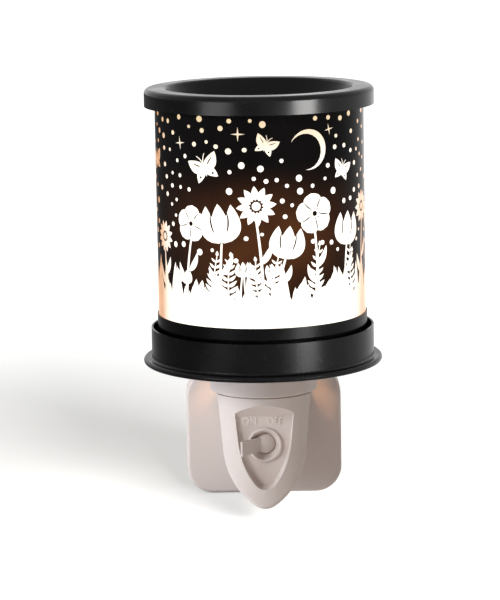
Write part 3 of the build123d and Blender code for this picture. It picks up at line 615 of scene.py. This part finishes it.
class Meadow:
    """Outlines of the print's light and dark layer, all round the glass, and the room its motifs take."""

    columns = 108
    # A draw below the first share grows a leaf, below the second a bud, and else a fern
    leaves_below = 0.72
    buds_below = 0.88
    dot_radii = (0.75, 0.85, 1.0, 1.0, 1.15, 1.35)
    dots_top = 105.8

    def __init__(self, settings):
        self.settings = settings
        self.rng = random.Random(settings.seed)
        self.around = 2 * math.pi * GLASS_RADIUS / MM
        self.base = settings.band_height / MM
        self.light, self.dark, self.taken = [], [], []
        self.add_band()
        self.add_grass()
        self.add_leaves()
        self.add_flowers()
        for kind, centre, size, turn in SKY:
            self.add(kind(centre, size, turn), (*centre, size * 1.15))
        self.add_dots()

    def add(self, outlines, room=None):
        light, dark = outlines
        self.light += light
        self.dark += dark
        if room:
            self.taken.append(room)

    def free(self, x, y, gap):
        for cx, cy, radius in self.taken:
            apart = (x - cx + self.around / 2) % self.around - self.around / 2
            if math.hypot(apart, y - cy) < radius + gap:
                return False
        return True

    def add_band(self):
        """Solid band from just under the collar's rim up to a wavy edge."""
        low = (GALLERY_TOP - FOOT) / MM - 0.4
        step = self.around / self.columns
        waves = [0.9 * math.sin(i * 0.71) + 0.7 * math.sin(i * 1.93 + 1) for i in range(self.columns)]
        tops = [self.base + wave for wave in waves]
        for i, top in enumerate(tops):
            left, right = i * step, (i + 1) * step
            next_top = tops[(i + 1) % self.columns]
            self.light.append([(left, low), (right, low), (right, next_top), (left, top)])

    def add_grass(self):
        x, rng = 0.0, self.rng
        while x < self.around:
            tip = (x + rng.uniform(-1.4, 1.4), self.base + rng.uniform(2.5, 8.0))
            width = rng.uniform(3.0, 4.2)
            self.light.append(spine_outline((x, self.base - 4), tip, width, 0.0, blade_profile, 6))
            x += rng.uniform(1.6, 2.6)

    def add_leaves(self):
        """Tall leaves, with a bud or a fern among them."""
        x, base, rng = 0.0, self.base, self.rng
        while x < self.around:
            tall = self.settings.leaf_height / MM + rng.uniform(-5.0, 4.5)
            lean = rng.uniform(-3.2, 3.2)
            width = rng.uniform(3.2, 5.0)
            kind = rng.random()
            if kind < self.leaves_below:
                bow = rng.uniform(-0.9, 0.9)
                leaf = spine_outline((x, base - 3), (x + lean, tall), width, bow, blade_profile, 9)
                self.light.append(leaf)
            elif kind < self.buds_below:
                stem_top = (x + lean, tall - 4)
                self.light.append(spine_outline((x, base - 2), stem_top, 0.9, 0.4, stem_profile, 6))
                self.add(tulip((x + lean, tall - 4.6), 5.4, -lean * 0.05))
            else:
                self.add(fern((x, base - 2), (x + lean, tall + 6), 1.0, 4.4))
            x += self.settings.leaf_spacing / MM * rng.uniform(0.75, 1.35)

    def add_flower(self, kind, root_x, head, size, turn):
        """One tall flower: a stem out of the band, two leaves and its head."""
        base = self.base - 2
        x, y = head
        sway = (x - root_x) * 0.25
        foot = (x, y - 0.05 * size) if kind is tulip else (x, y - 0.8 * size)
        self.light.append(spine_outline((root_x, base), foot, 1.35, sway, stem_profile, 10))
        for side, share in ((-1, 0.32), (1, 0.52)):
            spot = (root_x + (x - root_x) * share, base + (foot[1] - base) * share)
            reach = 7.5 + 2.5 * self.rng.random()
            tip = (spot[0] + side * reach * 0.55, spot[1] + reach)
            self.light.append(spine_outline(spot, tip, 2.7, -side * 0.9, petal_profile, 9))
        self.taken.append(((root_x + x) / 2, (base + foot[1]) / 2 + 4, 5.0))
        if kind is tulip:
            self.add(tulip(foot, size, turn), (x, y + 0.5 * size, 0.62 * size))
        else:
            self.add(kind(head, size, turn), (x, y, 1.02 * size))

    def add_flowers(self):
        """The front's flowers, then more of them round the rest of the glass."""
        for flower in FRONT_FLOWERS:
            self.add_flower(*flower)
        kinds = [tulip, daisy, poppy]
        spot, index, rng = 68.0, 0, self.rng
        while spot < self.around - 64:
            kind = kinds[index % 3]
            size = rng.uniform(12, 15) if kind is tulip else rng.uniform(6.5, 8.4)
            head = (spot + rng.uniform(-2, 2), rng.uniform(50, 58) if kind is tulip else rng.uniform(58, 71))
            self.add_flower(kind, spot, head, size, rng.uniform(-0.15, 0.15))
            spot += rng.uniform(16.5, 20.0)
            index += 1

    def add_dots(self):
        """Dots wherever a tried place is free."""
        rng = self.rng
        for _ in range(self.settings.dot_count):
            x, y = rng.uniform(0, self.around), rng.uniform(self.base + 17, self.dots_top)
            radius = rng.choice(self.dot_radii)
            if self.free(x, y, radius + 0.8):
                dot = ring_points((x, y), radius, 12, rng.random(), rng.uniform(0.9, 1.08))
                self.add(([dot], []), (x, y, radius + 1.6))


def wrapped_mesh(name, outlines, radius):
    """Cuts flat outlines into narrow strips and wraps them round the glass."""
    strip = 3.0
    flat = bmesh.new()
    for outline in outlines:
        verts = [flat.verts.new((x, y, 0.0)) for x, y in outline]
        flat.faces.new(verts).normal_update()
    bmesh.ops.triangulate(flat, faces=flat.faces[:], ngon_method="EAR_CLIP")
    spans = [v.co.x for v in flat.verts]
    cut = math.floor(min(spans) / strip) * strip
    while cut < max(spans):
        near = [f for f in flat.faces if min(v.co.x for v in f.verts) < cut < max(v.co.x for v in f.verts)]
        edges = {e for f in near for e in f.edges}
        verts = {v for f in near for v in f.verts}
        if near:
            pieces = [*verts, *edges, *near]
            bmesh.ops.bisect_plane(flat, geom=pieces, plane_co=(cut, 0, 0), plane_no=(1, 0, 0))
        cut += strip
    for v in flat.verts:
        angle = v.co.x * MM / GLASS_RADIUS
        v.co = AXIS + Vector((radius * math.sin(angle), -radius * math.cos(angle), FOOT + v.co.y * MM))
    bmesh.ops.triangulate(flat, faces=flat.faces[:])
    for face in flat.faces:
        face.normal_update()
        out = face.calc_center_median() - AXIS
        if face.normal.dot(Vector((out.x, out.y, 0))) < 0:
            face.normal_flip()
        face.smooth = True
    mesh = bpy.data.meshes.new(name)
    flat.to_mesh(mesh)
    flat.free()
    return mesh


# Operators

class WARMER_OT_spun_metal(bpy.types.Operator):
    """Satin black enamel on the spun dish, ring, pan and gallery"""

    bl_idname = "warmer.spun_metal"
    bl_label = "Spun metal"

    def execute(self, context):
        settings = context.scene.warmer_metal
        dress(["wax_dish"], spun_enamel("dish_enamel", settings, 0.085))
        dress(["base_ring"], spun_enamel("ring_enamel", settings, 0.07, 1.0, 0.02))
        dress(["base_pan", "shade_gallery"], spun_enamel("inner_enamel", settings, 0.04, 0.9, 0.05))
        return {"FINISHED"}


class WARMER_OT_glass_print(bpy.types.Operator):
    """Black gloss print on the glass, with its windows in a meadow pattern glowing by painted emission"""

    bl_idname = "warmer.glass_print"
    bl_label = "Glass print"

    def black_print(self, settings):
        """Black outside, with a painted glow inside round the bulb's height, and a faint painted glow
        through the black in front of the bulb.
        """
        glow_height = FOOT + 56 * MM
        finish = Finish("black_gloss_print", {"Specular IOR Level": 0.02})
        outside = finish.across(finish.radius(), GLASS_RADIUS - 0.35 * MM, GLASS_RADIUS - 0.2 * MM)
        streaks = finish.cloud(70.0, 4.0, (1.0, 1.0, 0.3))
        base = finish.blend(streaks, (0.0035, 0.003, 0.003, 1.0), (0.007, 0.006, 0.006, 1.0))
        inner = finish.blend(finish.cloud(200.0), (0.05, 0.035, 0.025, 1.0), (0.075, 0.05, 0.035, 1.0))
        # Painted glow, strongest at the bulb's height and fading above and below it
        apart = finish.number("ABSOLUTE", finish.number("SUBTRACT", finish.height(), glow_height))
        near = finish.across(apart, 2 * MM, 33 * MM, 1.0, 0.0)
        uneven = finish.across(finish.cloud(45.0, 2.0), 0.2, 0.8, 0.6, 1.25)
        painted_seep_mask = finish.number("MULTIPLY", finish.number("MULTIPLY", near, painted_glow_lobe(finish, 2.6)), uneven)
        painted_seep_glow = finish.blend(painted_seep_mask, (0, 0, 0, 1), rgba(settings.glow))
        # Painted glow on the inside of the glass round the bulb's height
        lit = finish.blend(near, (0.02, 0.008, 0.002, 1.0), (0.55, 0.30, 0.12, 1.0))
        finish.set({
            "Base Color": finish.blend(outside, inner, base),
            "Roughness": finish.across(streaks, 0.3, 0.7, 0.10, 0.17),
            "Normal": finish.relief(finish.cloud(500.0, 2.0), 0.004 * MM, 0.25),
            "Emission Color": finish.blend(outside, lit, painted_seep_glow),
            "Emission Strength": 1.0,
        })
        return finish

    def painted_glow_window(self, settings):
        """Clear part of the print, whose glow is painted emission in place of the bulb's light behind it."""
        finish = Finish("painted_glow_window", {"Base Color": (0.02, 0.015, 0.01, 1.0), "Specular IOR Level": 0.3})
        shimmer = finish.across(finish.cloud(150.0, 2.0), 0.2, 0.8, 0.92, 1.06)
        tint = {0: painted_window_colour(finish, settings), 3: shimmer}
        finish.set({
            "Roughness": finish.across(finish.cloud(300.0), 0.3, 0.7, 0.15, 0.25),
            # Painted glow: emission in place of the bulb's light shining through the window
            "Emission Color": finish.node("VectorMath", tint, operation="SCALE").outputs[0],
            "Emission Strength": 1.0,
        })
        return finish

    def dark_line(self):
        """Near black of the fine lines drawn in the windows."""
        finish = Finish("print_line", {"Specular IOR Level": 0.02})
        tone = finish.cloud(80.0)
        finish.set({
            "Base Color": finish.blend(tone, (0.006, 0.004, 0.003, 1.0), (0.02, 0.010, 0.006, 1.0)),
            "Roughness": finish.across(tone, 0.3, 0.7, 0.14, 0.22),
        })
        return finish

    def execute(self, context):
        settings = context.scene.warmer_print
        line_lift = 0.03 * MM
        dress(["glass_shade"], self.black_print(settings))
        meadow = Meadow(settings)
        radius = GLASS_RADIUS + settings.lift
        windows = wrapped_mesh("glass_windows", meadow.light, radius)
        add_piece("glass_windows", windows, self.painted_glow_window(settings), "shade")
        lines = wrapped_mesh("print_lines", meadow.dark, radius + line_lift)
        add_piece("print_lines", lines, self.dark_line(), "shade")
        return {"FINISHED"}


class WARMER_OT_plug_base(bpy.types.Operator):
    """Ivory moulded housing, neck, cover and plug disc, with ON and OFF in the recess"""

    bl_idname = "warmer.plug_base"
    bl_label = "Plug base"

    # Left and right end of each word, the drop of its letters' feet below the foot of the black base,
    # and the depth of the recess's floor behind the bezel's lip
    words = {"ON": (-9.2 * MM, -3.4 * MM), "OFF": (1.0 * MM, 7.7 * MM)}
    word_drop = 24.8 * MM
    floor_behind_lip = 1.3 * MM

    def letters(self, word, low_x, high_x, settings, finish):
        """One word in relief on the recess's floor, fitted between its two ends."""
        name = "switch_word_" + word.lower()
        curve = bpy.data.curves.new(name, "FONT")
        curve.body = word
        curve.extrude = 0.02
        curve.offset = 0.014
        curve.bevel_depth = 0.010
        curve.bevel_resolution = 1
        helper = bpy.data.objects.new("letter_helper", curve)
        bpy.context.scene.collection.objects.link(helper)
        bpy.context.view_layer.update()
        mesh = bpy.data.meshes.new_from_object(helper.evaluated_get(bpy.context.evaluated_depsgraph_get()))
        bpy.data.objects.remove(helper)
        bpy.data.curves.remove(curve)
        left, low, back = (min(c) for c in zip(*(v.co for v in mesh.vertices)))
        right, top, front = (max(c) for c in zip(*(v.co for v in mesh.vertices)))
        wide = (high_x - low_x) / (right - left)
        tall = settings.letter_height / (top - low)
        deep = 2 * settings.letter_relief / (front - back)
        for v in mesh.vertices:
            x = low_x + (v.co.x - left) * wide
            z = FOOT - self.word_drop + (v.co.y - low) * tall
            v.co = (x, BEZEL_FRONT + self.floor_behind_lip - v.co.z * deep, z)
        mesh.materials.clear()
        add_piece(name, mesh, finish, "base")

    def execute(self, context):
        settings = context.scene.warmer_plastic
        dress(["front_housing", "rear_cover"], moulded_plastic("ivory_housing", settings))
        # The neck is a darker copy of the plastic: painted shade under the black base
        dress(["neck_collar"], moulded_plastic("ivory_neck", settings, 0.98, 0.02))
        dress(["plug_disc"], moulded_plastic("ivory_plug", settings, 0.95, -0.04))
        # The letters are a lighter copy of the plastic: a painted highlight
        face = moulded_plastic("ivory_letters", settings, 1.16, -0.05)
        for word, ends in self.words.items():
            self.letters(word, *ends, settings, face)
        return {"FINISHED"}


class WARMER_OT_switch(bpy.types.Operator):
    """Bezel, toggle lever and the switch's inner pieces"""

    bl_idname = "warmer.switch"
    bl_label = "Switch"

    def execute(self, context):
        settings = context.scene.warmer_plastic
        # The bezel is a lighter copy of the plastic: a painted highlight
        dress(["switch_bezel"], moulded_plastic("ivory_bezel", settings, 1.02, -0.05))
        # The lever is a darker copy of the plastic: painted shade
        dress(["switch_lever"], moulded_plastic("ivory_lever", settings, 0.94, -0.04))
        dress(["switch_case"], dull_moulding("black_phenolic_case", (0.02, 0.018, 0.017)))
        copper = bright_metal("switch_copper", (0.80, 0.43, 0.28), 0.28)
        dress(["switch_rocker", "switch_terminals"], copper)
        return {"FINISHED"}


def helix_mesh(name, radius, depth, pitch, low, high):
    """Rounded thread ridge that winds up a cap and fades out at both ends."""
    section = [(0.0, -0.42), (0.72, -0.2), (1.0, 0.0), (0.72, 0.2), (0.0, 0.42)]
    per_turn = 40
    fade_steps = 12
    count = int(per_turn * (high - low) / pitch)
    thread = bmesh.new()
    rows = []
    for i in range(count + 1):
        angle = 2 * math.pi * i / per_turn
        z = low + (high - low) * i / count
        fade = min(1.0, i / fade_steps, (count - i) / fade_steps)
        row = []
        for out, up in section:
            r = radius + depth * out * fade
            spot = Vector((r * math.cos(angle), r * math.sin(angle), z + up * pitch))
            row.append(thread.verts.new(AXIS + spot))
        rows.append(row)
    for lower, upper in zip(rows, rows[1:]):
        for i in range(len(section) - 1):
            face = thread.faces.new((lower[i], upper[i], upper[i + 1], lower[i + 1]))
            face.smooth = True
    bmesh.ops.recalc_face_normals(thread, faces=thread.faces[:])
    mesh = bpy.data.meshes.new(name)
    thread.to_mesh(mesh)
    thread.free()
    return mesh


class WARMER_OT_lamp(bpy.types.Operator):
    """Socket, bulb with its threaded cap, and the light that falls through the vents"""

    bl_idname = "warmer.lamp"
    bl_label = "Socket and bulb"

    def clear_glass(self, name, tint):
        finish = Finish(name, {"Transmission Weight": 1.0, "IOR": 1.45})
        waves = finish.cloud(60.0, 2.0)
        finish.set({
            "Base Color": finish.blend(waves, rgba(tint), (1.0, 1.0, 1.0, 1.0)),
            "Roughness": finish.across(waves, 0.3, 0.7, 0.0, 0.03),
        })
        clear = finish.shader("BsdfTransparent", {"Color": (0.96, 0.95, 0.93, 1.0)})
        shadow = finish.node("LightPath", {}).outputs["Is Shadow Ray"]
        mixed = finish.shader("MixShader", {0: shadow, 1: finish.principled.outputs[0], 2: clear})
        finish.feed(finish.tree.nodes["Material Output"].inputs["Surface"], mixed)
        return finish

    def hot_wire(self, settings):
        """Filament whose top coil glows; its leads stay dark."""
        wire = {"Base Color": (0.5, 0.3, 0.15, 1.0), "Metallic": 1.0, "Roughness": 0.4}
        finish = Finish("hot_filament", wire)
        coil = finish.across(finish.height(), FILAMENT_TOP - 4 * MM, FILAMENT_TOP - 3 * MM)
        heat = finish.blend(finish.cloud(900.0, 2.0), (1.0, 0.55, 0.18, 1.0), (1.0, 0.72, 0.38, 1.0))
        finish.set({
            "Emission Color": finish.blend(coil, (0.02, 0.01, 0.005, 1.0), heat),
            "Emission Strength": settings.filament_strength,
        })
        return finish

    def execute(self, context):
        settings = context.scene.warmer_lamp
        dress(["lamp_socket"], dull_moulding("black_phenolic_socket", (0.018, 0.016, 0.015), 0.42))
        dress(["socket_ring_nut"], dull_moulding("black_phenolic_nut", (0.022, 0.02, 0.019), 0.46))
        dress(["socket_shell", "socket_contact"], bright_metal("socket_brass", (0.78, 0.56, 0.25), 0.26))
        nickel = bright_metal("cap_nickel", (0.72, 0.70, 0.66), 0.24)
        dress(["bulb_cap", "bulb_contact"], nickel)
        dress(["bulb_insulator"], dull_moulding("cap_black_glass", (0.01, 0.01, 0.014), 0.2))
        dress(["bulb_glass"], self.clear_glass("bulb_clear_glass", (0.985, 0.99, 0.99)))
        dress(["bulb_stem"], self.clear_glass("bulb_stem_glass", (0.95, 0.98, 0.97)))
        dress(["bulb_filament"], self.hot_wire(settings))
        radius = (CAP_HIGH.x - CAP_LOW.x) / 2 - 0.02 * MM
        ends = CAP_LOW.z + 2.2 * MM, CAP_HIGH.z - 2.4 * MM
        thread = helix_mesh("bulb_cap_thread", radius, settings.thread_depth, settings.thread_pitch, *ends)
        add_piece("bulb_cap_thread", thread, nickel, "bulb")

        light = bpy.data.lights.new("vent_seep", "POINT")
        light.energy = settings.seep_power
        light.color = (1.0, 0.52, 0.22)
        light.shadow_soft_size = 4 * MM
        lamp = bpy.data.objects.new("vent_seep", light)
        lamp.location = AXIS + Vector((0, 0, BULB_HEIGHT))
        context.scene.collection.objects.link(lamp)
        return {"FINISHED"}


class WARMER_OT_contacts(bpy.types.Operator):
    """Plug blades, contact strips, carrier, inner leads and screws"""

    bl_idname = "warmer.contacts"
    bl_label = "Plug and leads"

    def execute(self, context):
        blades = bright_metal("blade_brass", (0.79, 0.64, 0.36), 0.24, (1.0, 0.06, 1.0))
        dress(["blade_hot", "blade_neutral"], blades)
        strips = bright_metal("strip_brass", (0.76, 0.55, 0.26), 0.3)
        dress(["contact_strip_hot", "contact_strip_neutral"], strips)
        dress(["contact_carrier"], dull_moulding("black_phenolic_carrier", (0.02, 0.018, 0.017)))
        zinc = bright_metal("screw_zinc", (0.62, 0.62, 0.64), 0.32)
        dress(["housing_screws", "carrier_screws"], zinc)
        dress(["wire_hot", "wire_switched"], dull_moulding("black_lead_jacket", (0.015, 0.015, 0.016), 0.38))
        dress(["wire_neutral"], dull_moulding("white_lead_jacket", (0.70, 0.69, 0.66), 0.4))
        return {"FINISHED"}


class WARMER_OT_studio(bpy.types.Operator):
    """Pale floor, soft lights and the camera"""

    bl_idname = "warmer.studio"
    bl_label = "Studio"

    def softbox(self, name, power, colour, turn, rise, distance, size):
        """Rectangular light, turned from the front to the right and raised, that faces the lamp's foot."""
        turn, rise = math.radians(turn), math.radians(rise)
        away = Vector((math.sin(turn) * math.cos(rise), -math.cos(turn) * math.cos(rise), math.sin(rise)))
        light = bpy.data.lights.new(name, "AREA")
        light.shape = "RECTANGLE"
        light.size, light.size_y = size
        light.energy = power
        light.color = colour
        lamp = bpy.data.objects.new(name, light)
        lamp.location = Vector((0.0, AXIS.y, FOOT)) + away * distance
        lamp.rotation_euler = (-away).to_track_quat("-Z", "Y").to_euler()
        lamp.visible_camera = False
        bpy.context.scene.collection.objects.link(lamp)
        return lamp

    def link(self, lamp, objects, state):
        """Lights these objects only, or everything but them."""
        group = bpy.data.collections.new(lamp.name + "_receivers")
        for item in objects:
            group.objects.link(item)
        lamp.light_linking.receiver_collection = group
        for entry in group.collection_objects:
            entry.light_linking.link_state = state

    def room(self, context, settings):
        """White to the camera, bright to gloss, and a warm light that fades from left to right."""
        world = bpy.data.worlds.new("studio_room")
        world.use_nodes = True
        nodes = Nodes(world.node_tree)
        left, right = 1.65 * settings.room_light, 0.2 * settings.room_light
        fade = nodes.across(nodes.part_of(nodes.place("Generated"), "X"), -1.0, 1.0, left, right, "LINEAR")
        soft = nodes.shader("Background", {"Color": (1.0, 0.82, 0.72, 1), "Strength": fade})
        mirrored = nodes.shader("Background", {"Color": (1, 1, 1, 1), "Strength": 1.5})
        seen = nodes.shader("Background", {"Color": (1, 1, 1, 1), "Strength": 1.0})
        nodes.show_by_rays("Background", "World Output", soft, mirrored, seen)
        context.scene.world = world

    def floor_material(self):
        """Diffuse floor with a lift that the camera sees, dimmer near the lamp as painted shade, and a glow
        that gloss sees, dim on its left as a painted reflection.
        """
        material = bpy.data.materials.new("pale_floor")
        material.use_nodes = True
        nodes = Nodes(material.node_tree)
        place = nodes.place()
        # Painted shade: the lift is dimmer near the lamp and rises with distance from it
        rise = nodes.across(nodes.length(place), start=0.12, end=0.60, low=0.52, high=1.10)
        # Painted reflection: the glow that gloss sees is dim on the left and bright on the right
        glow = nodes.across(nodes.part_of(place, "X"), start=-0.55, end=0.70, low=0.20, high=1.9)
        dull = nodes.shader("BsdfDiffuse", {"Color": (0.62, 0.62, 0.62, 1)})
        lift = nodes.shader("Emission", {"Color": (0.96, 1.0, 1.0, 1), "Strength": rise})
        mirrored = nodes.shader("Emission", {"Strength": glow})
        seen = nodes.shader("AddShader", {0: dull, 1: lift})
        nodes.show_by_rays("Principled BSDF", "Material Output", dull, mirrored, seen)
        return material

    def floor(self, context, settings):
        level = CAD_BOX[0][2] - settings.floor_gap
        sheet = bmesh.new()
        bmesh.ops.create_grid(sheet, x_segments=2, y_segments=2, size=6.0)
        bmesh.ops.translate(sheet, verts=sheet.verts[:], vec=(0, 0, level))
        mesh = bpy.data.meshes.new("studio_floor")
        sheet.to_mesh(mesh)
        sheet.free()
        floor = bpy.data.objects.new("studio_floor", mesh)
        context.scene.collection.objects.link(floor)
        mesh.materials.append(self.floor_material())
        return floor

    def camera(self, context):
        """The photograph's camera: it looks down a little and is rolled by about one degree."""
        data = bpy.data.cameras.new("photo_camera")
        data.sensor_fit = "VERTICAL"
        data.sensor_height = 36.0
        data.lens = 161.9
        data.clip_end = 50.0
        data.dof.use_dof = False
        camera = bpy.data.objects.new("photo_camera", data)
        aim = Vector((-5.11 * MM, AXIS.y, FOOT + 25 * MM))
        pitch, roll, distance = math.radians(9.913), math.radians(-0.987), 1.130
        ahead = Vector((0, math.cos(pitch), -math.sin(pitch)))
        level, above = Vector((1, 0, 0)), Vector((0, math.sin(pitch), math.cos(pitch)))
        right = level * math.cos(roll) + above * math.sin(roll)
        up = above * math.cos(roll) - level * math.sin(roll)
        turn = Matrix((right, up, -ahead)).transposed()
        camera.matrix_world = Matrix.Translation(aim - ahead * distance) @ turn.to_4x4()
        context.scene.collection.objects.link(camera)
        context.scene.camera = camera

    def execute(self, context):
        settings = context.scene.warmer_studio
        context.scene.view_settings.view_transform = "Standard"
        self.room(context, settings)
        floor = self.floor(context, settings)
        white = (1.0, 0.985, 0.97)
        key = self.softbox("key_softbox", settings.key_power, (0.93, 1.0, 1.01),
                           turn=-49, rise=25, distance=1.3, size=(0.3, 0.3))
        card = self.softbox("side_card", settings.card_power, (0.85, 1.0, 1.18),
                            turn=-74, rise=-4, distance=0.28, size=(0.16, 0.22))
        left = self.softbox("left_strip", settings.left_strip_power, white,
                            turn=-42, rise=5, distance=0.60, size=(0.30, 0.14))
        right = self.softbox("right_strip", settings.right_strip_power, white,
                             turn=44, rise=1, distance=0.60, size=(0.23, 0.34))
        sweep = self.softbox("floor_softbox", settings.floor_power, white,
                             turn=23, rise=20, distance=1.6, size=(0.7, 0.35))
        for lamp in (key, card):
            self.link(lamp, [floor], "EXCLUDE")
        enamel = [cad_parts[name] for name in ("wax_dish", "base_ring", "base_pan", "shade_gallery")]
        for lamp in (left, right):
            self.link(lamp, enamel, "INCLUDE")
        self.link(sweep, [floor], "INCLUDE")
        for lamp in (key, card, sweep):
            lamp.visible_glossy = False
        self.camera(context)
        return {"FINISHED"}


class WARMER_PT_panel(bpy.types.Panel):
    """Lists the settings and the steps"""

    bl_idname = "WARMER_PT_panel"
    bl_label = "Wax melt warmer"
    bl_space_type = "VIEW_3D"
    bl_region_type = "UI"
    bl_category = "Warmer"

    def draw(self, context):
        groups = [
            (context.scene.warmer_metal, ["warmer.spun_metal"]),
            (context.scene.warmer_print, ["warmer.glass_print"]),
            (context.scene.warmer_plastic, ["warmer.plug_base", "warmer.switch"]),
            (context.scene.warmer_lamp, ["warmer.lamp", "warmer.contacts"]),
            (context.scene.warmer_studio, ["warmer.studio"]),
        ]
        for settings, operators in groups:
            box = self.layout.box()
            for name in settings.__annotations__:
                box.prop(settings, name)
            for operator in operators:
                box.operator(operator)


SETTINGS = {
    "warmer_metal": MetalSettings,
    "warmer_print": PrintSettings,
    "warmer_plastic": PlasticSettings,
    "warmer_lamp": LampSettings,
    "warmer_studio": StudioSettings,
}
CLASSES = [
    *SETTINGS.values(), WARMER_OT_spun_metal, WARMER_OT_glass_print, WARMER_OT_plug_base, WARMER_OT_switch,
    WARMER_OT_lamp, WARMER_OT_contacts, WARMER_OT_studio, WARMER_PT_panel,
]


def register():
    for cls in CLASSES:
        bpy.utils.register_class(cls)
    for name, group in SETTINGS.items():
        setattr(bpy.types.Scene, name, PointerProperty(type=group))


def unregister():
    for name in SETTINGS:
        delattr(bpy.types.Scene, name)
    for cls in reversed(CLASSES):
        bpy.utils.unregister_class(cls)


def main():
    register()
    bpy.ops.warmer.spun_metal()
    bpy.ops.warmer.glass_print()
    bpy.ops.warmer.plug_base()
    bpy.ops.warmer.switch()
    bpy.ops.warmer.lamp()
    bpy.ops.warmer.contacts()
    bpy.ops.warmer.studio()


if __name__ == "__main__":
    main()
